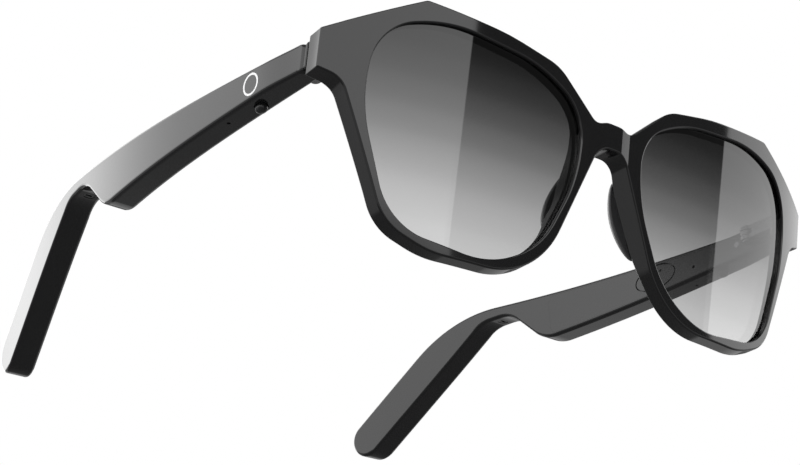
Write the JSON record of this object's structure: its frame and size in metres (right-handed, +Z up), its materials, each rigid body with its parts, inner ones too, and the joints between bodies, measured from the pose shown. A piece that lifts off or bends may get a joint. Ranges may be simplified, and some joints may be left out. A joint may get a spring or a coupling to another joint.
{
  "type": "smart glasses",
  "caption": "Sunglasses-style smart glasses: a wide black front with tinted lenses on two folding temples that hold battery, speaker, microphone and button.",
  "frame": {"origin": "bottom centre of the bounding box, on the mirror plane at the level of the rims' lowest edge", "axes": "+X towards the wearer's left, +Y back along the temples, +Z up; the front faces -Y"},
  "size_m": [0.148, 0.157, 0.0506],
  "materials": {
    "frame_plastic": "satin black injection-moulded plastic",
    "tinted_lens": "polished, grey tint fading from dark at the top to nearly clear at the bottom",
    "pad_rubber": "soft matt silicone",
    "hinge_steel": "fine brushed",
    "trim_plastic": "matt black plastic",
    "board_green": "solder-mask green",
    "battery_foil": "wrapped pouch foil",
    "mark_print": "printed white ring"
  },
  "bodies": {
    "front": {"front_frame": "frame_plastic", "lens_left": "tinted_lens", "lens_right": "tinted_lens", "nose_pad_left": "pad_rubber", "nose_pad_right": "pad_rubber", "hinge_bracket_left": "hinge_steel", "hinge_bracket_right": "hinge_steel", "bracket_screw_lower_left": "hinge_steel", "bracket_screw_lower_right": "hinge_steel", "bracket_screw_upper_left": "hinge_steel", "bracket_screw_upper_right": "hinge_steel", "hinge_pin_left": "hinge_steel", "hinge_pin_right": "hinge_steel"},
    "temple_left": {"temple_shell_left": "frame_plastic", "temple_cover_left": "frame_plastic", "temple_end_cap_left": "frame_plastic", "hinge_leaf_left": "hinge_steel", "leaf_screw_left": "hinge_steel", "charging_plate_left": "trim_plastic", "button_switch_left": "trim_plastic", "microphone_left": "hinge_steel", "circuit_board_left": "board_green", "battery_left": "battery_foil", "speaker_left": "trim_plastic", "speaker_grille_left": "trim_plastic"},
    "temple_right": {"temple_shell_right": "frame_plastic", "temple_cover_right": "frame_plastic", "temple_end_cap_right": "frame_plastic", "hinge_leaf_right": "hinge_steel", "leaf_screw_right": "hinge_steel", "charging_plate_right": "trim_plastic", "button_switch_right": "trim_plastic", "microphone_right": "hinge_steel", "circuit_board_right": "board_green", "battery_right": "battery_foil", "speaker_right": "trim_plastic", "speaker_grille_right": "trim_plastic", "temple_mark_right": "mark_print"},
    "button_left": {"control_button_left": "trim_plastic"},
    "button_right": {"control_button_right": "trim_plastic"}
  },
  "joints": [
    {"name": "temple_left_fold", "type": "hinge", "parent": "front", "child": "temple_left", "pos_m": [0.066, -0.0573, 0.0382], "axis": [0, 0, 1], "range_deg": [0, 86.5]},
    {"name": "temple_right_fold", "type": "hinge", "parent": "front", "child": "temple_right", "pos_m": [-0.066, -0.0573, 0.0382], "axis": [0, 0, -1], "range_deg": [0, 77]},
    {"name": "button_left_press", "type": "slide", "parent": "temple_left", "child": "button_left", "axis": [0, 0, 1], "range_m": [0, 0.0004], "stiffness_N_per_m": 900, "springref_m": -0.0002},
    {"name": "button_right_press", "type": "slide", "parent": "temple_right", "child": "button_right", "axis": [0, 0, 1], "range_m": [0, 0.0004], "stiffness_N_per_m": 900, "springref_m": -0.0002}
  ]
}
